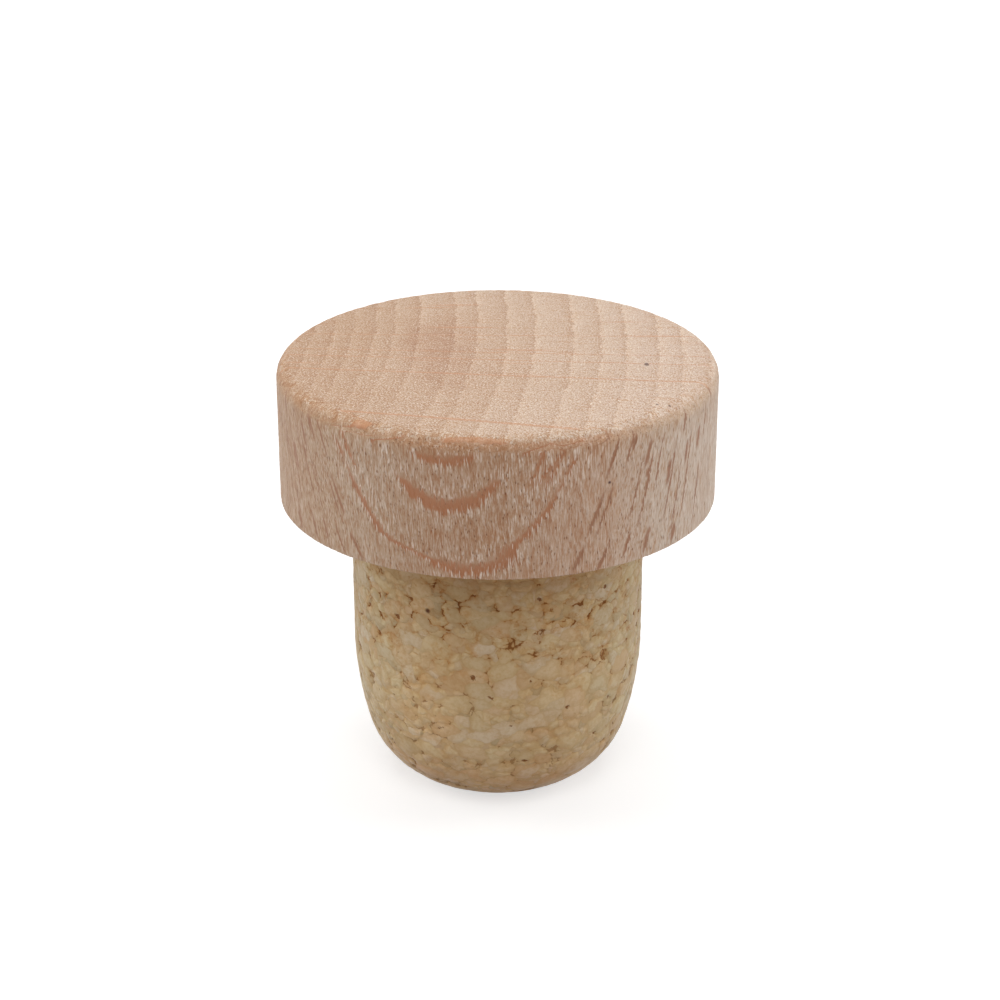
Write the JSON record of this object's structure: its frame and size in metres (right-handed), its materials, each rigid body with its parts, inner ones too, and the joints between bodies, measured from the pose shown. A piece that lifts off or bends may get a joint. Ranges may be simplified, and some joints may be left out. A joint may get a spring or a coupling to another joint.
{
  "type": "cork stopper",
  "caption": "Bar-top bottle stopper: a flat turned beech head with its end grain on top, glued to a straight agglomerated cork shank with a rounded nose.",
  "frame": {"origin": "on the axis, in the plane of the head's underside, which is where the stopper seats on a bottle's rim and where the grip of the shank starts", "axes": "+Z along the axis, out of the head's top; the shank runs down -Z; +X to the right and +Y away from the viewer in the picture"},
  "size_m": [0.0295, 0.0294, 0.0305],
  "materials": {
    "beech": "matte",
    "cork": "matte"
  },
  "bodies": {
    "root": {"wood_head": "beech", "cork_shank": "cork"}
  },
  "joints": []
}
